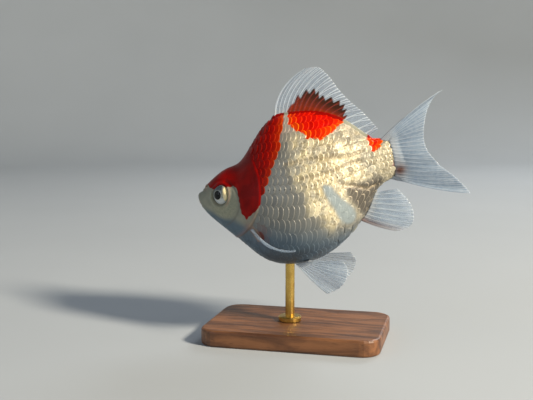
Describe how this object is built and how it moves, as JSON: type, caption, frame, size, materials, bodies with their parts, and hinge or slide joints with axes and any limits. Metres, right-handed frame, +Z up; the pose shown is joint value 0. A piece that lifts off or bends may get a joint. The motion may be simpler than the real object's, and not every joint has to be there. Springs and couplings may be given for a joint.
{
  "type": "goldfish model",
  "caption": "Life-size short-tailed ryukin goldfish, red and white, swimming slightly nose down, on a flat wooden base with a brass rod.",
  "frame": {"origin": "centre of the model's box, on the surface that the base stands on", "axes": "+X from the snout towards the tail, +Z up, +Y towards the fish's right side"},
  "size_m": [0.116, 0.0542, 0.116],
  "materials": {
    "skin": "wet gloss, pearly scales, white with orange-red patches",
    "eye": "clear dome over a silver iris and black pupil",
    "fin": "translucent bluish-white membrane with pale rays",
    "stand_wood": "satin-oiled walnut",
    "stand_brass": "satin-turned brass"
  },
  "bodies": {
    "root": {"mouth": "skin", "head": "skin", "gill_cover_left": "skin", "gill_cover_right": "skin", "trunk": "skin", "tail_stalk": "skin", "eye_left": "eye", "eye_right": "eye", "dorsal_fin": "fin", "pectoral_fin_left": "fin", "pectoral_fin_right": "fin", "pelvic_fin_left": "fin", "pelvic_fin_right": "fin", "anal_fin_left": "fin", "anal_fin_right": "fin", "tail_fin_left": "fin", "tail_fin_right": "fin", "stand_base": "stand_wood", "stand_rod": "stand_brass"}
  },
  "joints": []
}
